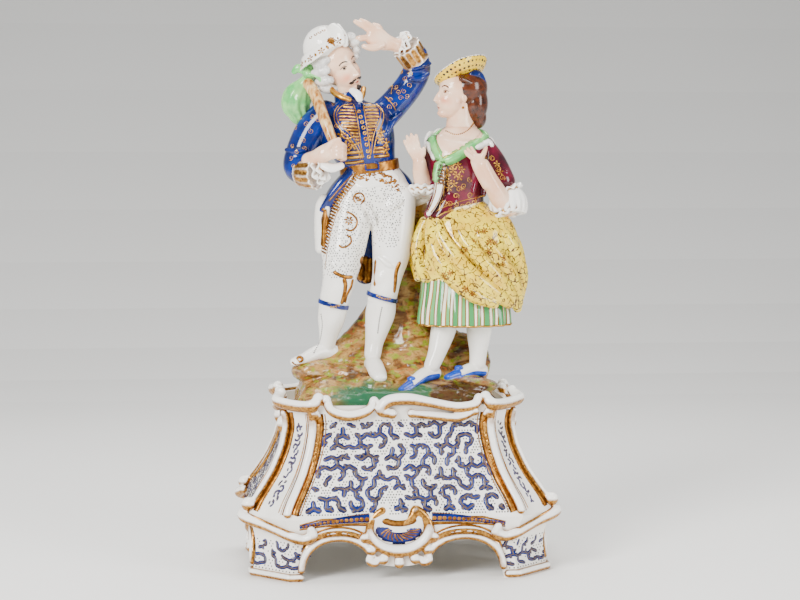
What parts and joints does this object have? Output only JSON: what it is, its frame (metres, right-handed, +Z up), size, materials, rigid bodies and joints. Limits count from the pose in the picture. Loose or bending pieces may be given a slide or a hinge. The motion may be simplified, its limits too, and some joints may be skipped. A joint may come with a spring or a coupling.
{
  "type": "courting couple figurine",
  "caption": "Painted and gilded porcelain group of a young man and woman on a rocky mound, standing in the rim of a scrolled rococo plinth with bracket feet.",
  "frame": {"origin": "on the table, under the middle of the plinth", "axes": "+Z up; the front of the group and of the plinth faces -Y; +X to the viewer's right"},
  "size_m": [0.2122, 0.1444, 0.3598],
  "materials": {
    "painted_glaze": "glazed porcelain with painted dress, skin and ground and gilt details",
    "white_glaze": "glazed white porcelain with gilt scrolls and blue and gold painted panels"
  },
  "bodies": {
    "root": {"figure_group": "painted_glaze", "plinth": "white_glaze"}
  },
  "joints": []
}
